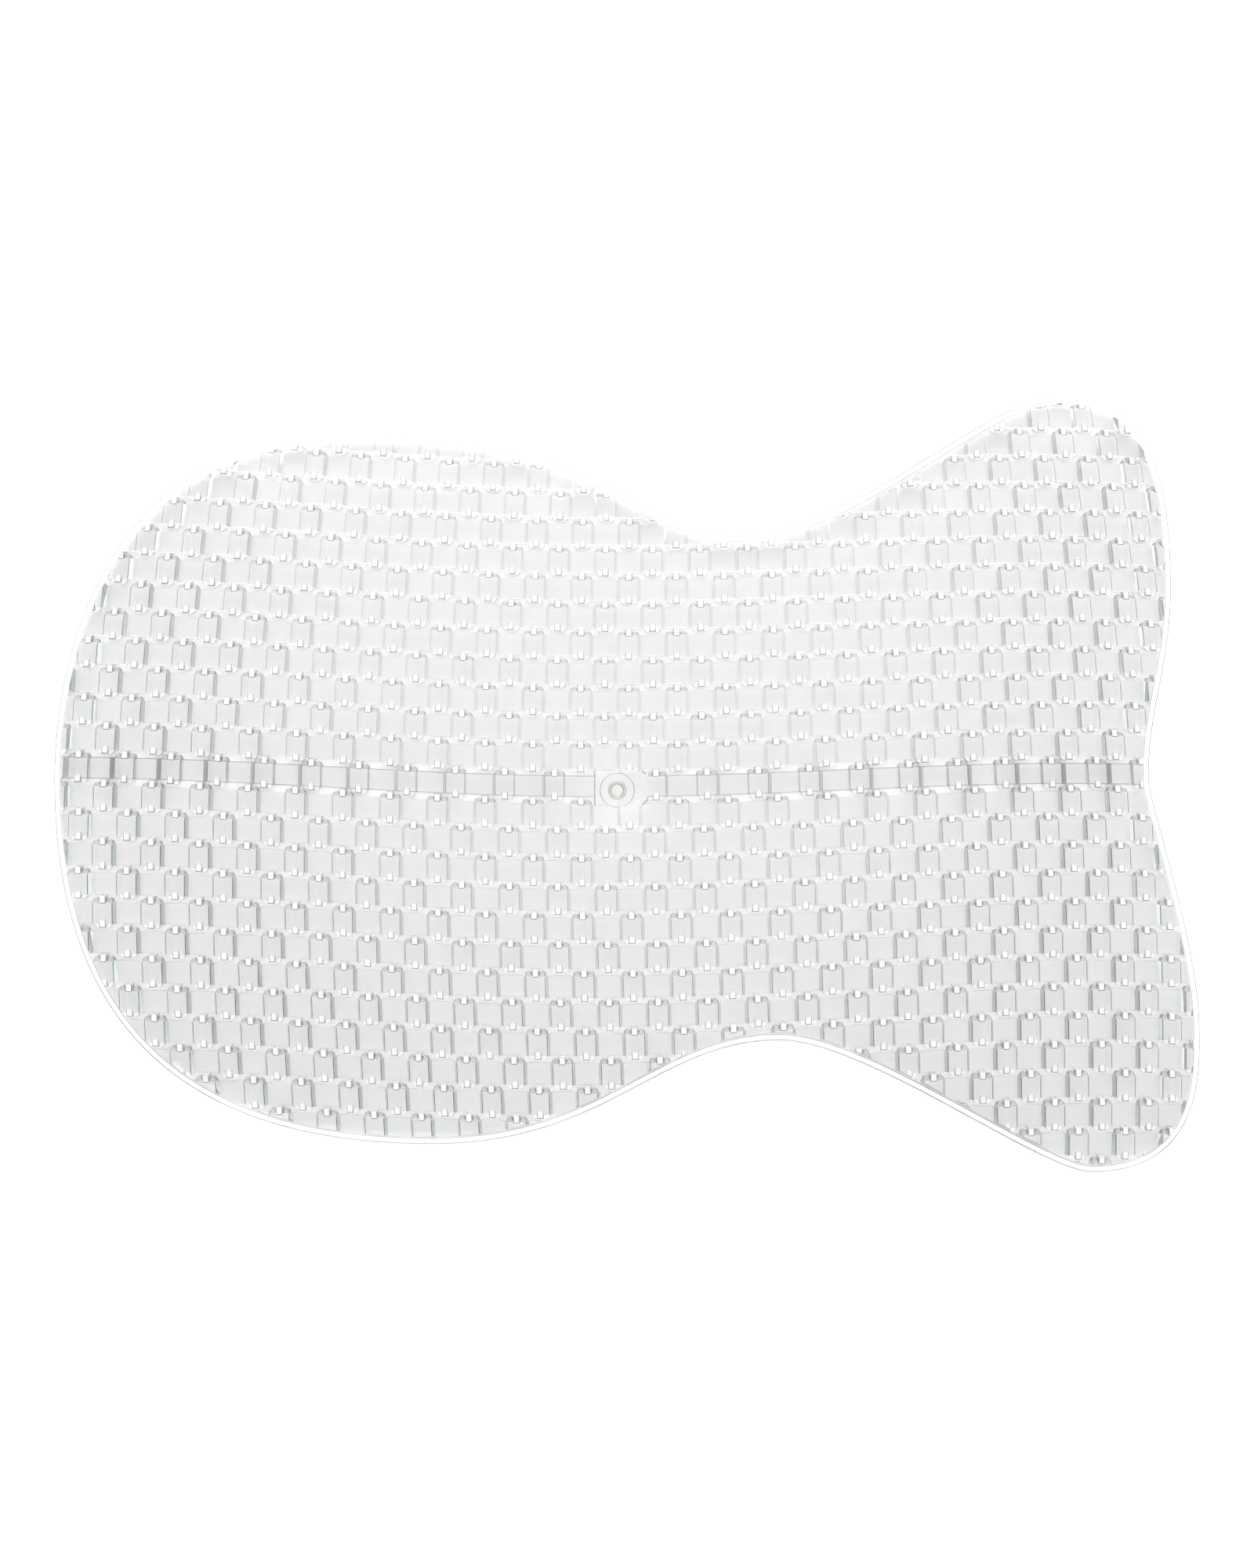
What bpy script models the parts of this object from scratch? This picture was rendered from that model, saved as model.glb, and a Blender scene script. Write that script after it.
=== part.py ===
"""Clear stick-on snowboard stomp pad: a moulded traction mat, its adhesive film and the release liner.

Metres, +Z up. The pad lies flat with its round head at -X and its flared tail at +X; the origin is under
the centre of the outline, on the face that rests on the deck or the table.
"""

import math

import bmesh
import bpy
from mathutils import Vector

MM = 0.001
OBJECT_NAME = "stomp_pad"
FLAT_ANGLE = math.radians(0.1)

# Stack, from the resting face up. Touching layers keep a small gap, so that their meshes stay apart.
LINER_THICKNESS = 0.25 * MM
ADHESIVE_THICKNESS = 0.5 * MM
LAYER_GAP = 0.3 * MM
WEB_THICKNESS = 1.3 * MM
FIELD_HEIGHT = 0.8 * MM
TILE_HEIGHT = 1.5 * MM

LINER_BOTTOM = 0.0
ADHESIVE_BOTTOM = LINER_BOTTOM + LINER_THICKNESS + LAYER_GAP
MAT_BOTTOM = ADHESIVE_BOTTOM + ADHESIVE_THICKNESS + LAYER_GAP
WEB_TOP = MAT_BOTTOM + WEB_THICKNESS
FIELD_TOP = WEB_TOP + FIELD_HEIGHT
HIGH_TILE_TOP = FIELD_TOP + TILE_HEIGHT

# Outline, in millimetres: places where it runs square to an axis, each with its heading and the reach of its
# handles behind and ahead, clockwise from the head.
NORTH, EAST, SOUTH, WEST = (0, 1), (1, 0), (0, -1), (-1, 0)
OUTLINE_KNOTS = (
    ((-82.2, 0.7), NORTH, 33.1, 10.1),
    ((-38.7, 50.4), EAST, 40.8, 36.5),
    ((16.4, 35.7), EAST, 15.8, 14.8),
    ((61.4, 55.7), EAST, 8.8, 11.5),
    ((78.0, 28.2), SOUTH, 20.2, 11.0),
    ((74.8, 0.9), SOUTH, 10.3, 3.3),
    ((82.1, -35.0), SOUTH, 11.8, 4.6),
    ((66.6, -55.6), WEST, 16.8, 7.1),
    ((21.8, -36.7), WEST, 12.3, 17.3),
    ((-28.1, -51.6), WEST, 25.3, 37.8),
)
OUTLINE_STEPS = 12

FLANGE_WIDTH = 1.25 * MM
FLANGE_ROUND = 0.4 * MM
LINER_INSET = 0.3 * MM
ADHESIVE_INSET = 0.9 * MM

# Tile field: square cells counted from the gate, columns along X and rows along Y.
COLUMN_PITCH = 3.467
COLUMN_SHIFT = -3.13
COLUMN_LEAN = -0.037
COLUMN_BEND = 0.0054
COLUMN_FAN = -0.0093
COLUMN_PINCH = -0.00077
COLUMN_CROWDING = 0.000067
COLUMN_SWELL = 0.45
COLUMN_SWELL_REACH = 17.0
ROW_PITCH = 4.045
ROW_SHIFT = -0.34
ROW_GROWTH = 0.0063
ROW_FAN = -0.003
ROW_BOW = 1.11
ROW_BOW_REACH = 21.0
ROW_SKEW = 0.000046
CENTRE_ROW_STRETCH = 0.34
CENTRE_ROW_REACH = 24.0
COLUMNS = range(-24, 27)
ROWS = range(-14, 16)
TILE_HALF_WIDTH = 0.45
TILE_HALF_LENGTH = 0.38
TILE_ROOT = 0.3 * MM

GATE_PLACE = (-1.2 * MM, -0.7 * MM)
GATE_PLATE_RADIUS = 3.6 * MM
GATE_BOSS_RADIUS = 1.5 * MM
GATE_BOSS_HEIGHT = 0.4 * MM


def clear_scene():
    for obj in list(bpy.data.objects):
        bpy.data.objects.remove(obj, do_unlink=True)


def new_collection(name):
    collection = bpy.data.collections.new(name)
    bpy.context.scene.collection.children.link(collection)
    return collection


def plastic(name, colour, roughness, transmission):
    material = bpy.data.materials.new(name)
    material.use_nodes = True
    shader = material.node_tree.nodes["Principled BSDF"]
    shader.inputs["Base Color"].default_value = (*colour, 1.0)
    shader.inputs["Roughness"].default_value = roughness
    shader.inputs["Metallic"].default_value = 0.0
    shader.inputs["Transmission Weight"].default_value = transmission
    return material


def cubic(start, start_handle, end_handle, end, steps):
    """Points of a cubic Bezier arc, without its last one."""
    arc = []
    for step in range(steps):
        t = step / steps
        s = 1 - t
        arc.append(start * s**3 + start_handle * 3 * s * s * t + end_handle * 3 * s * t * t + end * t**3)
    return arc


def outline():
    """The pad's edge, clockwise from the head, in metres, centred on the origin."""
    edge = []
    for index, (place, heading, _, ahead) in enumerate(OUTLINE_KNOTS):
        next_place, next_heading, behind, _ = OUTLINE_KNOTS[(index + 1) % len(OUTLINE_KNOTS)]
        start, end = Vector(place), Vector(next_place)
        leaving, arriving = start + Vector(heading) * ahead, end - Vector(next_heading) * behind
        edge += cubic(start, leaving, arriving, end, OUTLINE_STEPS)
    middle = Vector([(min(p[i] for p in edge) + max(p[i] for p in edge)) / 2 for i in (0, 1)])
    return [(p - middle) * MM for p in edge]


def inset(points, distance):
    """The outline moved inwards along its normals; it is smooth enough that nothing crosses."""
    moved = []
    for index, point in enumerate(points):
        run = points[(index + 1) % len(points)] - points[index - 1]
        inward = Vector((run.y, -run.x)).normalized()
        moved.append(point + inward * distance)
    return moved


def flat_curve(name, points, thickness, collection):
    """A filled 2D curve through the points, extruded to both sides of its plane."""
    curve = bpy.data.curves.new(name, "CURVE")
    curve.dimensions = "2D"
    curve.fill_mode = "BOTH"
    curve.extrude = thickness / 2
    spline = curve.splines.new("POLY")
    spline.points.add(len(points) - 1)
    for target, point in zip(spline.points, points):
        target.co = (point[0], point[1], 0.0, 1.0)
    spline.use_cyclic_u = True
    obj = bpy.data.objects.new(name, curve)
    collection.objects.link(obj)
    return obj


def as_mesh(curve_object, collection):
    """A mesh object in place of the curve, with the caps welded to the sides."""
    bpy.context.view_layer.update()
    graph = bpy.context.evaluated_depsgraph_get()
    mesh = bpy.data.meshes.new_from_object(curve_object.evaluated_get(graph))
    name, matrix = curve_object.name, curve_object.matrix_world.copy()
    bpy.data.objects.remove(curve_object, do_unlink=True)
    shape = bmesh.new()
    shape.from_mesh(mesh)
    bmesh.ops.remove_doubles(shape, verts=shape.verts, dist=1e-6)
    bmesh.ops.dissolve_limit(
        shape, angle_limit=FLAT_ANGLE, verts=shape.verts, edges=shape.edges, use_dissolve_boundaries=False
    )
    bmesh.ops.recalc_face_normals(shape, faces=shape.faces)
    shape.to_mesh(mesh)
    shape.free()
    obj = bpy.data.objects.new(name, mesh)
    obj.matrix_world = matrix
    collection.objects.link(obj)
    return obj


def sheet(name, points, bottom, thickness, collection):
    """A flat closed slab of the given outline."""
    curve = flat_curve(name, points, thickness, collection)
    curve.location.z = bottom + thickness / 2
    return as_mesh(curve, collection)


def plan_place(column, row):
    """Where a place of the tile field, counted in columns and rows from the gate, lies on the pad."""
    pitch = COLUMN_PITCH + COLUMN_FAN * row + COLUMN_PINCH * row**2
    swell = COLUMN_SWELL * (1 - math.cos(math.pi * column / COLUMN_SWELL_REACH))
    slant = COLUMN_LEAN * row + COLUMN_BEND * row**2
    across = COLUMN_SHIFT + pitch * column - COLUMN_CROWDING * column**3 + swell + slant
    bow = ROW_BOW * (1 - math.cos(math.pi * column / ROW_BOW_REACH)) - ROW_SKEW * column**3
    up = ROW_SHIFT + (ROW_PITCH + ROW_FAN * column) * row - ROW_GROWTH * row**2 + bow
    return Vector((across, up)) * MM


def high_tile(shape, column, row):
    """Adds one upright block, its corners on the pad's own grid of columns and rows."""
    if row == 0:
        column += CENTRE_ROW_STRETCH * math.sin(math.pi * column / CENTRE_ROW_REACH)
    block = bmesh.ops.create_cube(shape, size=1.0)["verts"]
    for corner in block:
        place = plan_place(
            column + math.copysign(TILE_HALF_WIDTH, corner.co.x),
            row + math.copysign(TILE_HALF_LENGTH, corner.co.y),
        )
        height = HIGH_TILE_TOP if corner.co.z > 0 else FIELD_TOP - TILE_ROOT
        corner.co = (place.x, place.y, height)


def high_tiles(collection):
    """Every second cell of the field, as on a draughts board."""
    shape = bmesh.new()
    for row in ROWS:
        for column in COLUMNS:
            if (column + row) % 2 == 0:
                high_tile(shape, column, row)
    bmesh.ops.recalc_face_normals(shape, faces=shape.faces)
    mesh = bpy.data.meshes.new("high_tiles")
    shape.to_mesh(mesh)
    shape.free()
    tiles = bpy.data.objects.new("high_tiles", mesh)
    collection.objects.link(tiles)
    return tiles


def boolean(target, tool, operation):
    modifier = target.modifiers.new(operation.lower(), "BOOLEAN")
    modifier.operation = operation
    modifier.object = tool
    modifier.solver = "EXACT"


def as_cutter(obj):
    obj.hide_render = True
    obj.display_type = "WIRE"
    return obj


def disc(name, radius, bottom, top, collection):
    mesh = bpy.data.meshes.new(name)
    shape = bmesh.new()
    bmesh.ops.create_cone(
        shape, cap_ends=True, segments=32, radius1=radius, radius2=radius, depth=top - bottom
    )
    shape.to_mesh(mesh)
    shape.free()
    obj = bpy.data.objects.new(name, mesh)
    obj.location = (*GATE_PLACE, (bottom + top) / 2)
    collection.objects.link(obj)
    return obj


def rounded_top_edge(obj, width):
    """Rounds the upper outer edge of a slab, where its top face meets its upright side."""
    shape = bmesh.new()
    shape.from_mesh(obj.data)
    weight = shape.edges.layers.float.new("bevel_weight_edge")
    for edge in shape.edges:
        rises = [face.normal.z for face in edge.link_faces]
        edge[weight] = 1.0 if max(rises) > 0.9 and abs(min(rises)) < 0.1 else 0.0
    shape.to_mesh(obj.data)
    shape.free()
    bevel = obj.modifiers.new("edge_round", "BEVEL")
    bevel.width = width
    bevel.segments = 2
    bevel.limit_method = "WEIGHT"


def traction_mat(edge, parts, cutters):
    """The clear moulding: a thin web with a plain flange, the tile rows on it and the round gate mark."""
    mat = sheet("traction_mat", edge, MAT_BOTTOM, WEB_THICKNESS, parts)
    rounded_top_edge(mat, FLANGE_ROUND)

    inner_edge = inset(edge, FLANGE_WIDTH)
    field = sheet("tile_field", inner_edge, WEB_TOP - TILE_ROOT, FIELD_HEIGHT + TILE_ROOT, cutters)
    boundary = sheet("tile_boundary", inner_edge, WEB_TOP, 2 * TILE_HEIGHT + FIELD_HEIGHT, cutters)
    tiles = high_tiles(cutters)
    clearance = disc("gate_clearance", GATE_PLATE_RADIUS, WEB_TOP, HIGH_TILE_TOP + TILE_HEIGHT, cutters)
    boolean(tiles, as_cutter(boundary), "INTERSECT")
    boolean(tiles, as_cutter(clearance), "DIFFERENCE")
    boss = disc("gate_boss", GATE_BOSS_RADIUS, FIELD_TOP - TILE_ROOT, FIELD_TOP + GATE_BOSS_HEIGHT, cutters)
    for piece in (field, boss, tiles):
        boolean(mat, as_cutter(piece), "UNION")
    return mat


def main():
    clear_scene()
    parts = new_collection(OBJECT_NAME)
    cutters = new_collection("cutters")
    edge = outline()

    liner = sheet("release_liner", inset(edge, LINER_INSET), LINER_BOTTOM, LINER_THICKNESS, parts)
    adhesive = sheet(
        "adhesive_film", inset(edge, ADHESIVE_INSET), ADHESIVE_BOTTOM, ADHESIVE_THICKNESS, parts
    )
    mat = traction_mat(edge, parts, cutters)

    mat.data.materials.append(plastic("clear_moulded_vinyl", (0.96, 0.97, 0.97), 0.08, 0.95))
    adhesive.data.materials.append(plastic("clear_acrylic_adhesive", (0.95, 0.95, 0.93), 0.25, 0.9))
    liner.data.materials.append(plastic("siliconised_liner", (0.9, 0.9, 0.9), 0.45, 0.0))


main()
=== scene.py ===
"""Looks of the clear stick-on snowboard stomp pad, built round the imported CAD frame.

Lengths in the tables below are millimetres unless a name says otherwise; meshes are in metres.
"""

import math

import bmesh
import bpy
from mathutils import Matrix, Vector


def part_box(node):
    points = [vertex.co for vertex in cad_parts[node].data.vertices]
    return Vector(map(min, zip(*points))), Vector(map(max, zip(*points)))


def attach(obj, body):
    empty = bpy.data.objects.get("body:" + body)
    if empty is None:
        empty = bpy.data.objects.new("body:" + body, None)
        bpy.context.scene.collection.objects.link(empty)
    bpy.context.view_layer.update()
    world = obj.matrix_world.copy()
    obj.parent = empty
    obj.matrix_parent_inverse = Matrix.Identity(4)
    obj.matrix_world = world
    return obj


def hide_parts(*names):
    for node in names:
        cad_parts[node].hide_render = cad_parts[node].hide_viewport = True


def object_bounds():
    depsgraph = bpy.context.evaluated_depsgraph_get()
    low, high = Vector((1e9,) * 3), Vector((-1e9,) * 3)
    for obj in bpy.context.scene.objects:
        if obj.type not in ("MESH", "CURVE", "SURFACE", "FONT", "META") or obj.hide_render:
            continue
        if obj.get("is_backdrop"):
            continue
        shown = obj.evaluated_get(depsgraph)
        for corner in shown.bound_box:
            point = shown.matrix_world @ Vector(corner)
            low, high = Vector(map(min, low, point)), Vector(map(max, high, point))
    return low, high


MM = 0.001

# The mat's finishes, as material slots, in the order of mat_materials; all but FROSTED carry painted shade
# on their slanted and steep faces.
CLEAR, FROSTED, STUD, RIM, KNOB, RAISED = range(6)

# Painted shade in the colour of the clear moulding's slanted and steep faces: near-black edges and
# grey-green wall bands. It is full at the pad's ends and weak round its pale middle.
PLAIN = (1.0, 1.0, 1.0)
# Painted shade: the near-black of slanted edges and the grey-green of steep walls; PLAIN paints none.
EDGE_PAINTED_SHADE = (0.05, 0.045, 0.045)
WALL_PAINTED_SHADE = (0.40, 0.48, 0.465)
PALE_MIDDLE_M = 0.04
PALE_REACH_M = (0.085, 0.09)

# Studio, in metres and watts.
HORIZON = (0.20, 0.23, 0.22)
WHITE = (1.0, 1.0, 1.0)
SKY_STRENGTH = 1.51
LAMP_WATTS = 3.1
LAMP_SIZE_M = (0.5, 0.3)
LAMP_BEHIND_M = 0.36
LAMP_UP_M = 0.34
CAMERA_DISTANCE_M = 0.42
SENSOR_WIDTH = 36.0
FRAME_WIDTH_IN_PADS = 1.0936
FLOOR_HALF_M = 100.0
FLOOR_DROP_M = 0.0002

# Outline, as in the CAD, clockwise from the head: places where it runs square to an axis, each with its
# heading and the reach of its handles behind and ahead.
NORTH, EAST, SOUTH, WEST = (0, 1), (1, 0), (0, -1), (-1, 0)
OUTLINE_KNOTS = (
    ((-82.2, 0.7), NORTH, 33.1, 10.1),
    ((-38.7, 50.4), EAST, 40.8, 36.5),
    ((16.4, 35.7), EAST, 15.8, 14.8),
    ((61.4, 55.7), EAST, 8.8, 11.5),
    ((78.0, 28.2), SOUTH, 20.2, 11.0),
    ((74.8, 0.9), SOUTH, 10.3, 3.3),
    ((82.1, -35.0), SOUTH, 11.8, 4.6),
    ((66.6, -55.6), WEST, 16.8, 7.1),
    ((21.8, -36.7), WEST, 12.3, 17.3),
    ((-28.1, -51.6), WEST, 25.3, 37.8),
)
OUTLINE_STEPS = 36

LINER_INSET = 0.3
ADHESIVE_INSET = 0.9
ADHESIVE_CLEARANCE = 0.01
FLANGE_WIDTH = 1.25
FIELD_DRAFT = 0.5
FLANGE_ROUND = 0.45
FLANGE_ROUND_STEPS = 5
UNDERSIDE_CHAMFER = 0.15
PLINTH_REACH = 0.42
PLINTH_DRAFT = 0.15
PLINTH_TOP = 0.3

# Tile field, as in the CAD: cells counted from the gate, columns along X and rows along Y.
COLUMN_PITCH = 3.467
COLUMN_SHIFT = -3.13
COLUMN_LEAN = -0.037
COLUMN_BEND = 0.0054
COLUMN_FAN = -0.0093
COLUMN_PINCH = -0.00077
COLUMN_CROWDING = 0.000067
COLUMN_SWELL = 0.45
COLUMN_SWELL_REACH = 17.0
ROW_PITCH = 4.045
ROW_SHIFT = -0.34
ROW_GROWTH = 0.0063
ROW_FAN = -0.003
ROW_BOW = 1.11
ROW_BOW_REACH = 21.0
ROW_SKEW = 0.000046
CENTRE_ROW_STRETCH = 0.34
CENTRE_ROW_REACH = 24.0
COLUMNS = range(-24, 27)
ROWS = range(-14, 16)

# Heights above the web, in millimetres.
WEB_THICKNESS = 1.3
ROOT = 0.3
LOW_TOP = 0.8
HIGH_TOP = 2.3
CHAMFER = 0.1
STUD_TOP = 2.42
KNOB_TOP = 1.7
APRON_TOP = 1.5
OVAL_DRAFT = 0.1
FIELD_CUT_TOP = 3.0
CENTRE_ROW_DROP = 0.25

# Half sizes inside a cell, in cells, from the cell's middle.
TILE_LENGTH = 0.37
HIGH_TOP_HALF = 0.40
HIGH_FOOT_HALF = 0.53
CENTRE_ROW_FOOT_HALF = 0.425
CENTRE_ROW_OUTER_FOOT = 0.49
CENTRE_ROW_FOOT_GROWTH = 0.01
STUD_HALF = (0.135, 0.135)
UPPER_STUD = 0.46
LOWER_STUD = -0.37
KNOB_SIDE = 0.285
KNOB_MIDDLE = 0.38
KNOB_HALF = (0.146, 0.135)
APRON_HALF = (0.33, 0.125)
APRON_MIDDLE = -0.42
TILE_END_DRAFT = 0.01
ROW_BAR_DRAFT = 0.02
STUD_DRAFT = 0.03

# Gate mark, in millimetres from the middle of the outline.
GATE_PLACE = (-1.4, -0.9)
GATE_PLATE = (-4.7, 3.0, -3.1, 2.0)
GATE_PLATE_CUT = 0.8
GATE_PLATE_TOP = 1.0
GATE_PLATE_FOOT = 0.75
GATE_PLATE_DRAFT = 0.16
GATE_CLEARANCE_TOP = 4.0
GATE_STEP = ((2.5, -0.3), (2.5, 0.02), (2.38, 0.1))
GATE_BOSS = ((1.35, -0.3), (1.3, 0.3), (1.2, 0.42), (1.0, 0.42), (0.8, 0.1), (0.5, 0.0))


def new_object(name, shape, smooth_angle=30.0):
    """A mesh object from a bmesh, which it frees; faces that meet below the angle are shaded smooth."""
    mesh = bpy.data.meshes.new(name)
    shape.to_mesh(mesh)
    shape.free()
    mesh.shade_smooth()
    mesh.set_sharp_from_angle(angle=math.radians(smooth_angle))
    obj = bpy.data.objects.new(name, mesh)
    bpy.context.scene.collection.objects.link(obj)
    return obj


# ---------------------------------------------------------------- plan shapes


def cubic(start, start_handle, end_handle, end, steps):
    """Points of a cubic Bezier arc, without its last one."""
    arc = []
    for step in range(steps):
        t = step / steps
        s = 1 - t
        arc.append(start * s**3 + start_handle * 3 * s * s * t + end_handle * 3 * s * t * t + end * t**3)
    return arc


def outline():
    """The pad's edge, clockwise from the head, centred on the origin."""
    edge = []
    for index, (place, heading, _, ahead) in enumerate(OUTLINE_KNOTS):
        next_place, next_heading, behind, _ = OUTLINE_KNOTS[(index + 1) % len(OUTLINE_KNOTS)]
        start, end = Vector(place), Vector(next_place)
        leaving, arriving = start + Vector(heading) * ahead, end - Vector(next_heading) * behind
        edge += cubic(start, leaving, arriving, end, OUTLINE_STEPS)
    middle = Vector([(min(p[i] for p in edge) + max(p[i] for p in edge)) / 2 for i in (0, 1)])
    return [p - middle for p in edge]


def inset(points, distance):
    """The edge moved inwards along its normals; it is smooth enough that nothing crosses."""
    moved = []
    for index, point in enumerate(points):
        run = points[(index + 1) % len(points)] - points[index - 1]
        moved.append(point + Vector((run.y, -run.x)).normalized() * distance)
    return moved


def plan_place(column, row):
    """Where a place of the tile field, counted in columns and rows from the gate, lies on the pad."""
    pitch = COLUMN_PITCH + COLUMN_FAN * row + COLUMN_PINCH * row**2
    swell = COLUMN_SWELL * (1 - math.cos(math.pi * column / COLUMN_SWELL_REACH))
    slant = COLUMN_LEAN * row + COLUMN_BEND * row**2
    across = COLUMN_SHIFT + pitch * column - COLUMN_CROWDING * column**3 + swell + slant
    bow = ROW_BOW * (1 - math.cos(math.pi * column / ROW_BOW_REACH)) - ROW_SKEW * column**3
    up = ROW_SHIFT + (ROW_PITCH + ROW_FAN * column) * row - ROW_GROWTH * row**2 + bow
    return Vector((across, up))


# ---------------------------------------------------------------- solids


def loft(shape, loops):
    """Adds a closed solid through loops of equal length, each a list of points; the ends are capped."""
    rings = [[shape.verts.new(Vector(point) * MM) for point in loop] for loop in loops]
    count = len(rings[0])
    for low, high in zip(rings, rings[1:]):
        for i in range(count):
            j = (i + 1) % count
            shape.faces.new((low[i], low[j], high[j], high[i]))
    shape.faces.new(rings[0])
    shape.faces.new(rings[-1])


def outward(shape):
    """Turns all faces of a closed shape outwards and splits them into triangles."""
    bmesh.ops.recalc_face_normals(shape, faces=shape.faces)
    bmesh.ops.triangulate(shape, faces=shape.faces)
    return shape


def in_finish(shape, finish):
    for face in shape.faces:
        face.material_index = finish
    return shape


def slab(edge, levels):
    """A sheet of the outline's shape: levels are pairs of inset and height, from the bottom up."""
    shape = bmesh.new()
    loops = [[(p.x, p.y, height) for p in inset(edge, distance)] for distance, height in levels]
    loft(shape, loops)
    return outward(shape)


def combine(target, tool, operation):
    """Applies a Boolean of the tool to the target at once, and removes the tool."""
    modifier = target.modifiers.new("combine", "BOOLEAN")
    modifier.operation = operation
    modifier.solver = "MANIFOLD"
    modifier.object = tool
    graph = bpy.context.evaluated_depsgraph_get()
    mesh = bpy.data.meshes.new_from_object(target.evaluated_get(graph))
    target.modifiers.clear()
    old = target.data
    target.data = mesh
    bpy.data.meshes.remove(old)
    bpy.data.objects.remove(tool, do_unlink=True)


def cell_ring(column, row, corners, height):
    """A level loop of points given in cells from the cell's middle, placed on the pad."""
    if row == 0:
        column += CENTRE_ROW_STRETCH * math.sin(math.pi * column / CENTRE_ROW_REACH)
    ring = []
    for s, t in corners:
        place = plan_place(column + s, row + t)
        ring.append((place.x, place.y, height))
    return ring


def block(shape, column, row, sections, web):
    """A block in a cell: each section is (middle s, middle t, half s, half t, height above the web)."""
    loops = []
    for s, t, half_s, half_t, height in sections:
        corners = [(s + a * half_s, t + b * half_t) for a, b in ((-1, -1), (1, -1), (1, 1), (-1, 1))]
        loops.append(cell_ring(column, row, corners, web + height))
    loft(shape, loops)


def oval(shape, column, row, middle, half, top, web, sides):
    """A round solid in a cell, with drafted walls and a chamfered top edge; half holds its half sizes."""
    loops = []
    for grow, height in ((OVAL_DRAFT, -ROOT), (0.0, top - CHAMFER), (-CHAMFER, top)):
        turns = [2 * math.pi * (i + 0.5) / sides for i in range(sides)]
        corners = [
            (middle[0] + math.cos(turn) * (half[0] + grow / COLUMN_PITCH),
             middle[1] + math.sin(turn) * (half[1] + grow / ROW_PITCH))
            for turn in turns
        ]
        loops.append(cell_ring(column, row, corners, web + height))
    loft(shape, loops)


def high_tile(shape, column, row, web):
    """One raised tile with drafted side walls; in the centre row only the outer wall has a draft."""
    foot, lean = HIGH_FOOT_HALF, 0.0
    if row == 0:
        outer = CENTRE_ROW_OUTER_FOOT + CENTRE_ROW_FOOT_GROWTH * abs(column)
        foot = (outer + CENTRE_ROW_FOOT_HALF) / 2
        lean = math.copysign((outer - CENTRE_ROW_FOOT_HALF) / 2, column)
    cut_s, cut_t = CHAMFER / COLUMN_PITCH, CHAMFER / ROW_PITCH
    block(shape, column, row, (
        (lean, 0, foot, TILE_LENGTH + TILE_END_DRAFT, -ROOT),
        (lean, 0, foot, TILE_LENGTH + TILE_END_DRAFT, LOW_TOP - CENTRE_ROW_DROP),
        (0, 0, HIGH_TOP_HALF + cut_s / 2, TILE_LENGTH, HIGH_TOP - CHAMFER),
        (0, 0, HIGH_TOP_HALF - cut_s / 2, TILE_LENGTH - cut_t, HIGH_TOP),
    ), web)


def stud(shape, column, row, middle, web):
    """A small square stud with drafted walls."""
    half_s, half_t = STUD_HALF
    cut = CHAMFER / COLUMN_PITCH
    block(shape, column, row, (
        (0, middle, half_s + STUD_DRAFT, half_t + STUD_DRAFT, -ROOT),
        (0, middle, half_s, half_t, STUD_TOP - CHAMFER),
        (0, middle, half_s - cut, half_t - cut, STUD_TOP),
    ), web)


def studs(shape, column, row, web):
    for middle in (UPPER_STUD, LOWER_STUD):
        stud(shape, column, row, middle, web)


def knobs(shape, column, row, web):
    """Two round buttons beside the upper stud, half sunk in the tile's end wall."""
    for side in (-1, 1):
        oval(shape, column, row, (side * KNOB_SIDE, KNOB_MIDDLE), KNOB_HALF, KNOB_TOP, web, sides=10)


def apron(shape, column, row, web):
    """The rounded lower end of a high tile, which bulges into the gutter."""
    oval(shape, column, row, (0.0, APRON_MIDDLE), APRON_HALF, APRON_TOP, web, sides=14)


def row_bar(shape, _, row, web):
    """The low level of one row: a long bar with chamfered upper edges, bent to the row's place."""
    top = LOW_TOP if row else LOW_TOP - CENTRE_ROW_DROP
    cut = CHAMFER / ROW_PITCH
    section = (
        (-TILE_LENGTH - ROW_BAR_DRAFT, -ROOT),
        (-TILE_LENGTH, top - CHAMFER),
        (-TILE_LENGTH + cut, top),
        (TILE_LENGTH - cut, top),
        (TILE_LENGTH, top - CHAMFER),
        (TILE_LENGTH + ROW_BAR_DRAFT, -ROOT),
    )
    loops = []
    for column in COLUMNS:
        loop = []
        for t, height in section:
            place = plan_place(column, row + t)
            loop.append((place.x, place.y, web + height))
        loops.append(loop)
    loft(shape, loops)


def gathered(name, add, cells, web, finish):
    """One mesh of separate small solids, one call of add for each cell, all in one finish."""
    shape = bmesh.new()
    for column, row in cells:
        add(shape, column, row, web)
    return finished(new_object(name, in_finish(outward(shape), finish)))


def finished(obj):
    """Gives a piece of the mat all of the mat's materials, so that a Boolean keeps each face's own."""
    for material in mat_materials:
        obj.data.materials.append(material)
    return obj


def encloses(edge, point):
    """Whether a point lies within the closed edge, by counting the sides to its right."""
    crossings = 0
    for start, end in zip(edge, edge[1:] + edge[:1]):
        if (start.y > point.y) != (end.y > point.y):
            share = (point.y - start.y) / (end.y - start.y)
            crossings += start.x + share * (end.x - start.x) > point.x
    return crossings % 2 == 1


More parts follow.
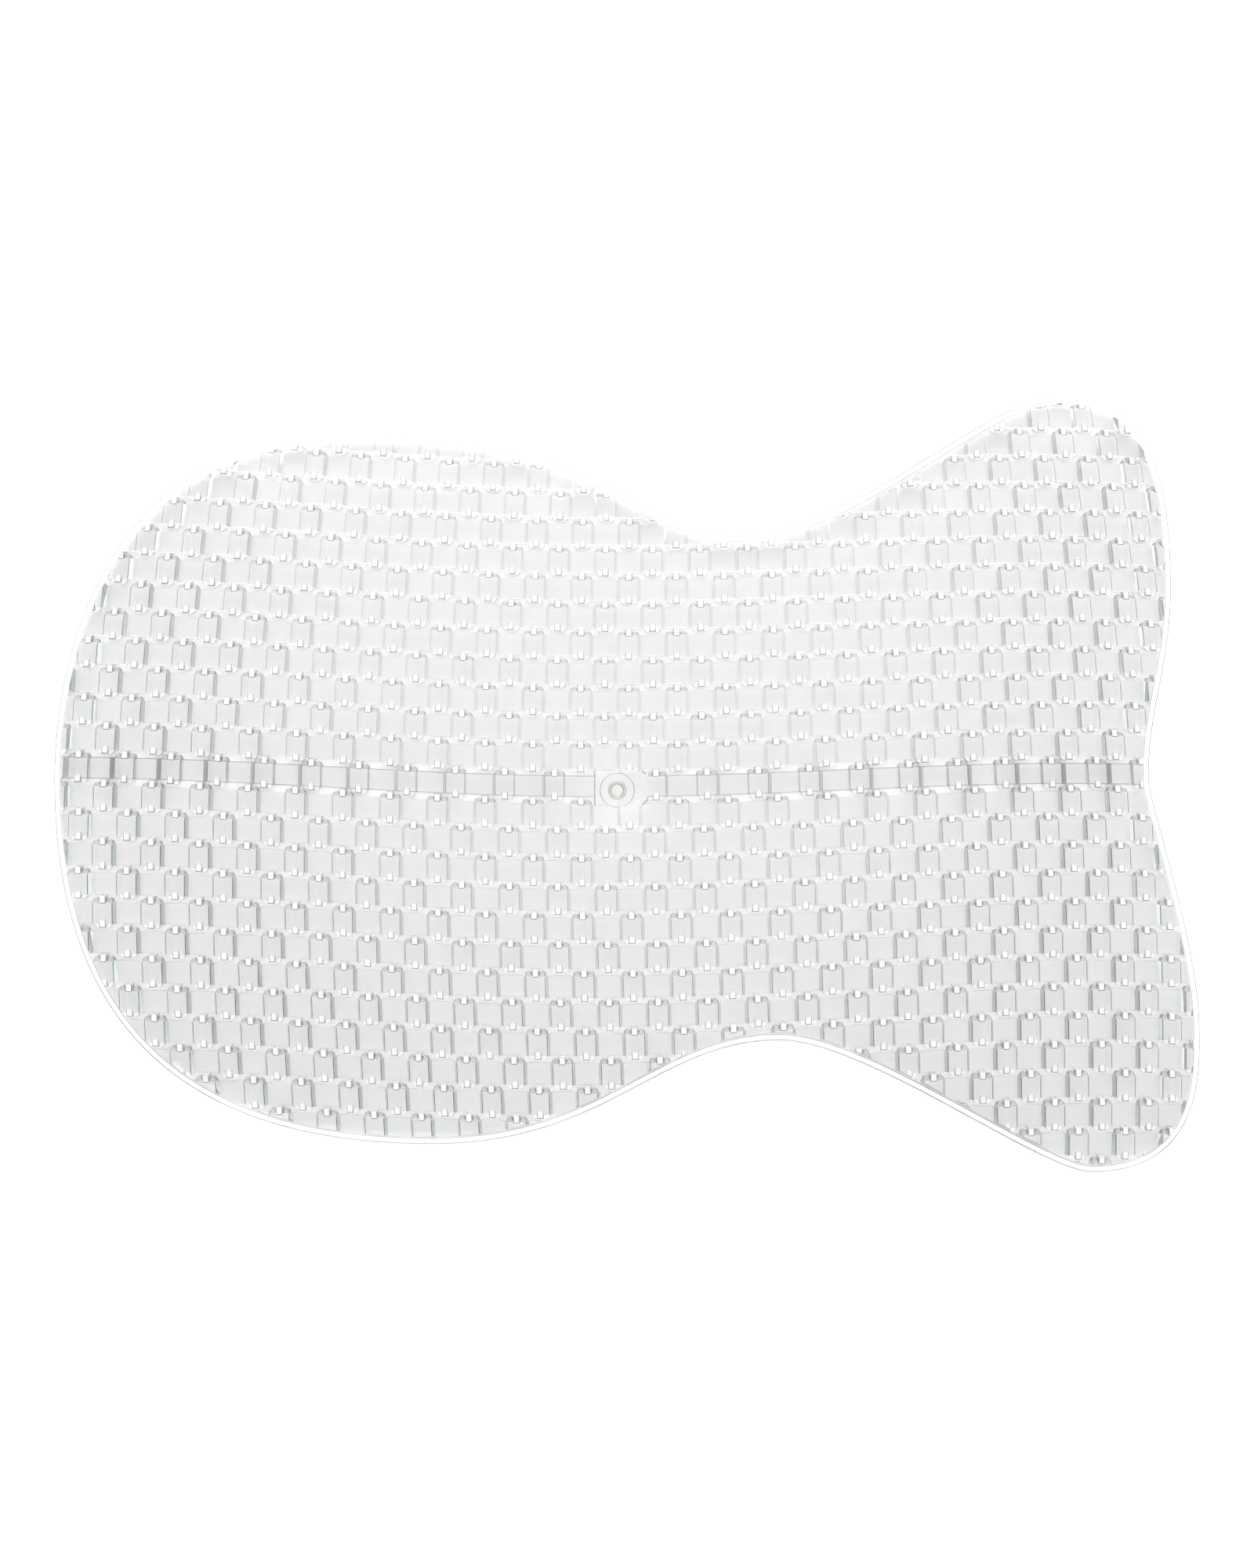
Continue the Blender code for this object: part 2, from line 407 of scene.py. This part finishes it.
def tile_field(edge, web):
    """All rows of tiles with their studs, knobs and aprons, as one solid, not yet cut to the outline."""
    reach = inset(edge, -COLUMN_PITCH)
    cells = [
        (c, r) for r in ROWS for c in COLUMNS
        if (c + r) % 2 == 0 and (c, r) != (0, 0) and encloses(reach, plan_place(c, r))
    ]
    field = gathered("tile_field", row_bar, [(0, r) for r in ROWS if r], web, CLEAR)
    extras = (
        gathered("centre_row", row_bar, [(0, 0)], web, RIM),
        gathered("high_tiles", high_tile, [cell for cell in cells if cell[1]], web, RAISED),
        gathered("centre_tiles", high_tile, [cell for cell in cells if not cell[1]], web, RIM),
        gathered("knobs", knobs, cells, web, KNOB),
        gathered("aprons", apron, cells, web, FROSTED),
        gathered("studs", studs, cells, web, STUD),
    )
    for extra in extras:
        combine(field, extra, "UNION")
    return field


def turned(name, profile, plate_top, finish, sides=64):
    """A turned solid about the gate's axis: profile is radius and height above the plate, bottom first."""
    shape = bmesh.new()
    loops = []
    for radius, height in profile:
        turns = [2 * math.pi * i / sides for i in range(sides)]
        loops.append([
            (GATE_PLACE[0] + radius * math.cos(turn), GATE_PLACE[1] + radius * math.sin(turn),
             plate_top + height)
            for turn in turns
        ])
    loft(shape, loops)
    return finished(new_object(name, in_finish(outward(shape), finish)))


def gate_plate(web):
    """The plain plate round the gate, with a drafted rim and two corners cut off on its right."""
    left, right, low, high = GATE_PLATE
    cut = GATE_PLATE_CUT
    plan = ((left, low), (right - cut, low), (right, low + cut), (right, high - cut), (right - cut, high),
            (left, high))
    shape = bmesh.new()
    middle = Vector(((left + right) / 2, (low + high) / 2))
    draft = 1 - 2 * GATE_PLATE_DRAFT / (right - left)
    narrowed = [middle + (Vector(place) - middle) * draft for place in plan]
    loops = [[(x, y, web - ROOT) for x, y in plan], [(x, y, web + GATE_PLATE_FOOT) for x, y in plan],
             [(p.x, p.y, web + GATE_PLATE_TOP) for p in narrowed]]
    loft(shape, loops)
    return finished(new_object("gate_plate", in_finish(outward(shape), RIM)))


def add_gate(field, web):
    """Clears the field round the gate, then adds the plate, a faint step and the cupped boss."""
    left, right, low, high = GATE_PLATE
    shape = bmesh.new()
    plan = ((left, low), (right, low), (right, high), (left, high))
    loft(shape, [[(x, y, web + height) for x, y in plan] for height in (GATE_PLATE_TOP, GATE_CLEARANCE_TOP)])
    combine(field, finished(new_object("gate_clearance", outward(shape))), "DIFFERENCE")
    combine(field, gate_plate(web), "UNION")
    combine(field, turned("gate_step", GATE_STEP, web + GATE_PLATE_TOP, RIM), "UNION")
    combine(field, turned("gate_boss", GATE_BOSS, web + GATE_PLATE_TOP, KNOB), "UNION")


def cleaned(obj, smooth_angle=25.0):
    """Merges the flat faces that the Booleans split, and shades the piece smooth between sharp edges."""
    shape = bmesh.new()
    shape.from_mesh(obj.data)
    bmesh.ops.remove_doubles(shape, verts=shape.verts, dist=1e-6)
    bmesh.ops.dissolve_limit(
        shape, angle_limit=math.radians(0.2), verts=shape.verts, edges=shape.edges, delimit={"MATERIAL"}
    )
    bmesh.ops.triangulate(shape, faces=shape.faces)
    shape.to_mesh(obj.data)
    shape.free()
    obj.data.shade_smooth()
    obj.data.set_sharp_from_angle(angle=math.radians(smooth_angle))
    return obj


def plinth(edge, web):
    """The low step on which the tile field stands; it shows as a fine line all round the field."""
    foot = FLANGE_WIDTH - PLINTH_REACH
    shape = slab(edge, ((foot, web - ROOT), (foot, web), (foot + PLINTH_DRAFT, web + PLINTH_TOP)))
    for face in shape.faces:
        face.normal_update()
        # The walls take the rim finish, whose painted shade draws the fine dark line.
        face.material_index = STUD if face.normal.z > 0.9 else RIM
    return finished(new_object("plinth", shape))


def traction_mat(edge, bottom):
    """The clear moulding: web and rounded flange, with the tile field joined on."""
    web = bottom + WEB_THICKNESS
    levels = [(UNDERSIDE_CHAMFER, bottom), (0.0, bottom + UNDERSIDE_CHAMFER)]
    for i in range(FLANGE_ROUND_STEPS + 1):
        turn = math.pi / 2 * i / FLANGE_ROUND_STEPS
        levels.append((FLANGE_ROUND * (1 - math.cos(turn)), web - FLANGE_ROUND * (1 - math.sin(turn))))
    shape = slab(edge, levels)
    for face in shape.faces:
        face.normal_update()
        if face.normal.z < -0.5:
            face.material_index = CLEAR
        else:
            # The flange's rounded and steep faces take the rim finish and so its painted shade.
            face.material_index = FROSTED if face.normal.z > 0.8 else RIM
    mat = finished(new_object("moulded_mat", shape))
    combine(mat, plinth(edge, web), "UNION")

    field = tile_field(edge, web)
    add_gate(field, web)
    shape = slab(edge, (
        (FLANGE_WIDTH - FIELD_DRAFT / 2, web - ROOT), (FLANGE_WIDTH + FIELD_DRAFT / 2, web + FIELD_CUT_TOP),
    ))
    combine(field, finished(new_object("field_boundary", in_finish(shape, RIM))), "INTERSECT")
    combine(mat, field, "UNION")
    return cleaned(mat)


# ---------------------------------------------------------------- materials


def new_material(name):
    material = bpy.data.materials.new(name)
    material.use_nodes = True
    nodes = material.node_tree.nodes
    return material, nodes, material.node_tree.links, nodes["Principled BSDF"]


def ramp(nodes, links, source, stops):
    """A colour ramp on a value: stops are position and colour."""
    node = nodes.new("ShaderNodeValToRGB")
    elements = node.color_ramp.elements
    while len(elements) < len(stops):
        elements.new(0.5)
    for element, (position, colour) in zip(elements, stops):
        element.position = position
        element.color = (*colour, 1.0)
    links.new(source, node.inputs["Fac"])
    return node.outputs["Color"]


def maths(nodes, links, operation, *values):
    node = nodes.new("ShaderNodeMath")
    node.operation = operation
    for socket, value in zip(node.inputs, values):
        if isinstance(value, (int, float)):
            socket.default_value = value
        else:
            links.new(value, socket)
    return node.outputs["Value"]


def mix_colour(nodes, links, factor, first, second, blend="MIX"):
    node = nodes.new("ShaderNodeMix")
    node.data_type = "RGBA"
    node.blend_type = blend
    for index, value in ((0, factor), (6, first), (7, second)):
        if isinstance(value, (tuple, float)):
            node.inputs[index].default_value = value
        else:
            links.new(value, node.inputs[index])
    return node.outputs[2]


def vinyl(name, palest, transmission, roughness,
          edge=PLAIN, side=PLAIN, lower=PLAIN, upper=PLAIN, top=PLAIN):
    """Clear moulded vinyl, with shade painted into its colour by the way a face looks.

    Edge and side are the painted shade of the slanted and the steep faces that look along X, lower and upper
    that of the steep ones that look along Y, and top that of the rest.
    Round the pad's pale middle, the painted shade falls to its palest share.
    """
    material, nodes, links, shader = new_material(name)
    place = nodes.new("ShaderNodeTexCoord")
    facing = nodes.new("ShaderNodeSeparateXYZ")
    links.new(place.outputs["Normal"], facing.inputs[0])
    sideways = maths(nodes, links, "ABSOLUTE", facing.outputs["X"])
    endways = maths(nodes, links, "MULTIPLY_ADD", facing.outputs["Y"], 0.5, 0.5)
    # Painted shade by facing: the ramps darken slanted and steep faces, whatever light falls on them.
    sides = ramp(nodes, links, sideways, (
        (0.25, PLAIN), (0.5, edge), (0.85, edge), (0.93, side)))
    ends = ramp(nodes, links, endways, (
        (0.2, lower), (0.4, top), (0.6, top), (0.8, upper)))
    wall_shade = mix_colour(nodes, links, 1.0, sides, ends, "MULTIPLY")

    # The painted shade fades round the pad's middle, by place on the pad.
    spread = nodes.new("ShaderNodeMapping")
    spread.inputs["Location"].default_value = (0.0, -PALE_MIDDLE_M / PALE_REACH_M[1], 0.0)
    spread.inputs["Scale"].default_value = (1 / PALE_REACH_M[0], 1 / PALE_REACH_M[1], 0.0)
    links.new(place.outputs["Object"], spread.inputs["Vector"])
    reach = nodes.new("ShaderNodeVectorMath")
    reach.operation = "LENGTH"
    links.new(spread.outputs["Vector"], reach.inputs[0])
    depth = nodes.new("ShaderNodeMapRange")
    depth.interpolation_type = "SMOOTHSTEP"
    depth.inputs["From Min"].default_value = 0.35
    depth.inputs["From Max"].default_value = 1.0
    depth.inputs["To Min"].default_value = palest
    links.new(reach.outputs["Value"], depth.inputs["Value"])
    # The painted shade, mixed into the base colour.
    painted_shade = mix_colour(nodes, links, depth.outputs["Result"], (*PLAIN, 1.0), wall_shade)
    links.new(painted_shade, shader.inputs["Base Color"])

    flow = nodes.new("ShaderNodeTexNoise")
    flow.inputs["Scale"].default_value = 900.0
    flow.inputs["Detail"].default_value = 3.0
    links.new(place.outputs["Object"], flow.inputs["Vector"])
    ripple = nodes.new("ShaderNodeBump")
    ripple.inputs["Strength"].default_value = 0.12
    ripple.inputs["Distance"].default_value = 0.0002
    links.new(flow.outputs["Fac"], ripple.inputs["Height"])
    links.new(ripple.outputs["Normal"], shader.inputs["Normal"])
    polish = nodes.new("ShaderNodeMapRange")
    polish.inputs["To Min"].default_value = roughness[0]
    polish.inputs["To Max"].default_value = roughness[1]
    links.new(flow.outputs["Fac"], polish.inputs["Value"])
    links.new(polish.outputs["Result"], shader.inputs["Roughness"])
    shader.inputs["IOR"].default_value = 1.5
    shader.inputs["Transmission Weight"].default_value = transmission
    return material


def grained(name, base, spread_by, scale, bump, distance, roughness):
    """A nearly even surface: noise moves the colour a little, sets the roughness and lifts a fine grain."""
    material, nodes, links, shader = new_material(name)
    place = nodes.new("ShaderNodeTexCoord")
    grain = nodes.new("ShaderNodeTexNoise")
    grain.inputs["Scale"].default_value = scale
    grain.inputs["Detail"].default_value = 4.0
    links.new(place.outputs["Object"], grain.inputs["Vector"])
    darker = tuple(channel - spread_by for channel in base)
    colour = ramp(nodes, links, grain.outputs["Fac"], ((0.3, darker), (0.7, base)))
    links.new(colour, shader.inputs["Base Color"])
    polish = nodes.new("ShaderNodeMapRange")
    polish.inputs["To Min"].default_value = roughness[0]
    polish.inputs["To Max"].default_value = roughness[1]
    links.new(grain.outputs["Fac"], polish.inputs["Value"])
    links.new(polish.outputs["Result"], shader.inputs["Roughness"])
    relief = nodes.new("ShaderNodeBump")
    relief.inputs["Strength"].default_value = bump
    relief.inputs["Distance"].default_value = distance
    links.new(grain.outputs["Fac"], relief.inputs["Height"])
    links.new(relief.outputs["Normal"], shader.inputs["Normal"])
    return material, shader


def adhesive_material():
    """Clear acrylic film, so thin that only a slight haze of it shows."""
    material, shader = grained("clear_adhesive", (0.97, 0.97, 0.96), 0.03, 300.0, 0.1, 0.0001, (0.2, 0.4))
    shader.inputs["Alpha"].default_value = 0.08
    return material


def liner_material():
    """Silicone-coated paper: smooth, with a faint fibre grain."""
    return grained("release_liner", (0.94, 0.94, 0.94), 0.02, 1500.0, 0.08, 0.00005, (0.4, 0.55))[0]


def floor_material():
    """Matt white paper."""
    return grained("studio_floor", (0.925, 0.925, 0.925), 0.01, 200.0, 0.05, 0.0001, (0.8, 0.95))[0]


# ---------------------------------------------------------------- studio


def studio():
    """A white sheet, a bright sky with a dim horizon, one large lamp beyond the pad, and the camera."""
    shape = bmesh.new()
    bmesh.ops.create_grid(shape, x_segments=1, y_segments=1, size=FLOOR_HALF_M)
    floor = new_object("studio_floor", shape)
    floor.data.materials.append(floor_material())
    floor.location.z = -FLOOR_DROP_M
    floor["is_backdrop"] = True

    world = bpy.data.worlds.new("studio")
    bpy.context.scene.world = world
    world.use_nodes = True
    nodes, links = world.node_tree.nodes, world.node_tree.links
    background = nodes["Background"]
    direction = nodes.new("ShaderNodeTexCoord")
    parts = nodes.new("ShaderNodeSeparateXYZ")
    links.new(direction.outputs["Generated"], parts.inputs[0])
    sky = ramp(nodes, links, parts.outputs["Z"], (
        (0.0, HORIZON), (0.22, HORIZON), (0.45, WHITE), (1.0, WHITE)))
    links.new(sky, background.inputs["Color"])
    background.inputs["Strength"].default_value = SKY_STRENGTH

    key = bpy.data.lights.new("overhead_softbox", "AREA")
    key.shape = "RECTANGLE"
    key.size, key.size_y = LAMP_SIZE_M
    key.energy = LAMP_WATTS
    lamp = bpy.data.objects.new("overhead_softbox", key)
    lamp.location = (0.0, LAMP_BEHIND_M, LAMP_UP_M)
    lamp.rotation_euler = (-math.atan2(LAMP_BEHIND_M, LAMP_UP_M), 0.0, 0.0)
    bpy.context.scene.collection.objects.link(lamp)

    camera_data = bpy.data.cameras.new("camera")
    camera = bpy.data.objects.new("camera", camera_data)
    bpy.context.scene.collection.objects.link(camera)
    low, high = (Vector(corner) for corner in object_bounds())
    flange_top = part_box("traction_mat")[0][2] + WEB_THICKNESS * MM
    frame_width = (high.x - low.x) * FRAME_WIDTH_IN_PADS
    camera_data.sensor_fit = "HORIZONTAL"
    camera_data.sensor_width = SENSOR_WIDTH
    camera_data.lens = SENSOR_WIDTH * CAMERA_DISTANCE_M / frame_width
    camera.location = ((low.x + high.x) / 2, (low.y + high.y) / 2, flange_top + CAMERA_DISTANCE_M)
    bpy.context.scene.camera = camera
    bpy.context.scene.view_settings.view_transform = "Standard"

    cycles = bpy.context.scene.cycles
    cycles.max_bounces = 32
    cycles.diffuse_bounces = 8
    cycles.glossy_bounces = 12
    cycles.transmission_bounces = 24


# ---------------------------------------------------------------- main

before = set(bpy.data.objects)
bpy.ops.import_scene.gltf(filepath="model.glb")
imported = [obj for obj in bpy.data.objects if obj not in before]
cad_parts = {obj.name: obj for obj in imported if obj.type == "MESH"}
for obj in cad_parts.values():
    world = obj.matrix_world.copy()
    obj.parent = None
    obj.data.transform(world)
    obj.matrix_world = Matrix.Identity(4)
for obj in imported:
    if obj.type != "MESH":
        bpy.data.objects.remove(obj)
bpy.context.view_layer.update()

edge = outline()
liner_low, liner_high = (corner[2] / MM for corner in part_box("release_liner"))
mat_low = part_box("traction_mat")[0][2] / MM

liner = new_object("peel_off_liner", slab(edge, ((LINER_INSET, liner_low), (LINER_INSET, liner_high))))
liner.data.materials.append(liner_material())
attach(liner, "liner")
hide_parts("release_liner")

adhesive = new_object("clear_adhesive_film", slab(edge, (
    (ADHESIVE_INSET, liner_high + ADHESIVE_CLEARANCE), (ADHESIVE_INSET, mat_low - ADHESIVE_CLEARANCE))))
adhesive.data.materials.append(adhesive_material())
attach(adhesive, "pad")
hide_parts("adhesive_film")

# The edge, side, lower, upper and top colours below are painted shade: dark slanted edges and walls, the
# stud's dark lower and pale upper walls, and grey rim and knob faces.
mat_materials = (
    vinyl("clear_vinyl", 0.25, 1.0, (0.02, 0.08), edge=EDGE_PAINTED_SHADE, side=WALL_PAINTED_SHADE),
    vinyl("frosted_vinyl", 0.2, 0.3, (0.3, 0.5)),
    vinyl("stud_vinyl", 0.85, 0.8, (0.1, 0.25), edge=(0.25, 0.24, 0.23), side=(0.55, 0.53, 0.51),
          lower=(0.16, 0.15, 0.14), upper=(0.8, 0.78, 0.76)),
    vinyl("rim_vinyl", 0.85, 0.95, (0.05, 0.2), edge=(0.18, 0.19, 0.21), side=(0.40, 0.42, 0.46),
          lower=(0.36, 0.38, 0.42), upper=(0.26, 0.29, 0.34), top=(0.93, 0.93, 0.925)),
    vinyl("knob_vinyl", 0.85, 0.9, (0.1, 0.25), edge=(0.34, 0.32, 0.3), side=(0.5, 0.48, 0.45),
          lower=(0.34, 0.32, 0.3), upper=(0.6, 0.58, 0.55), top=(0.6, 0.58, 0.55)),
    vinyl("raised_vinyl", 0.25, 0.97, (0.02, 0.1), edge=EDGE_PAINTED_SHADE, side=WALL_PAINTED_SHADE),
)
mat = traction_mat(edge, mat_low)
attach(mat, "pad")
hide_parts("traction_mat")

studio()
